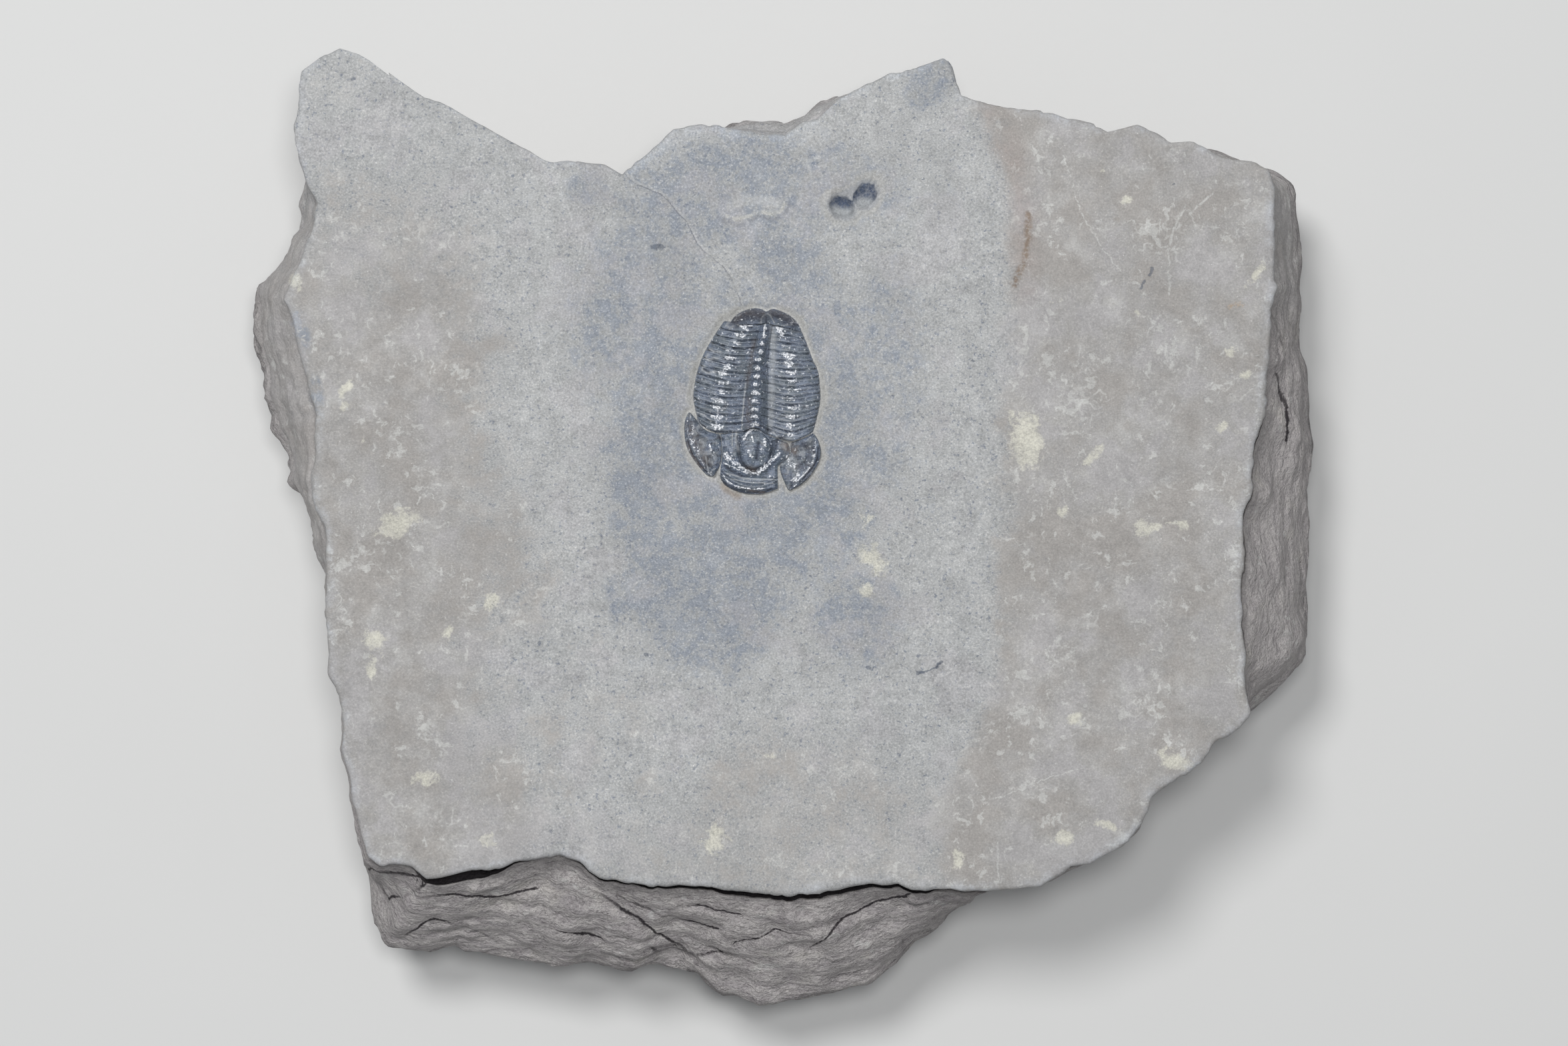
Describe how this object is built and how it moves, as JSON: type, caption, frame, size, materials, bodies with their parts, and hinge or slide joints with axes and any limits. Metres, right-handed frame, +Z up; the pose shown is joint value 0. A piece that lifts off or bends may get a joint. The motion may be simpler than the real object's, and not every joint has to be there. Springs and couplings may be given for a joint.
{
  "type": "trilobite fossil in shale matrix",
  "caption": "Loose slab of grey laminated shale with a small dark trilobite exposed in its bedding face, lying face up on its flat underside.",
  "frame": {"origin": "middle of the slab's flat underside, at the centre of its bounding box", "axes": "+Z up out of the bedding face; +X across the trilobite, along the slab's longer side; the trilobite's head points to -Y and its tail to +Y"},
  "size_m": [0.1288, 0.1152, 0.0276],
  "materials": {
    "shale": "dry matt laminated shale, blue-grey where abraded",
    "fossil": "dark slate calcite with a glossy, sparkling skin"
  },
  "bodies": {
    "root": {"matrix": "shale", "pygidium": "fossil", "thoracic_segment_01": "fossil", "thoracic_segment_02": "fossil", "thoracic_segment_03": "fossil", "thoracic_segment_04": "fossil", "thoracic_segment_05": "fossil", "thoracic_segment_06": "fossil", "thoracic_segment_07": "fossil", "thoracic_segment_08": "fossil", "thoracic_segment_09": "fossil", "thoracic_segment_10": "fossil", "thoracic_segment_11": "fossil", "thoracic_segment_12": "fossil", "thoracic_segment_13": "fossil", "cranidium": "fossil", "left_free_cheek": "fossil", "right_free_cheek": "fossil"}
  },
  "joints": []
}
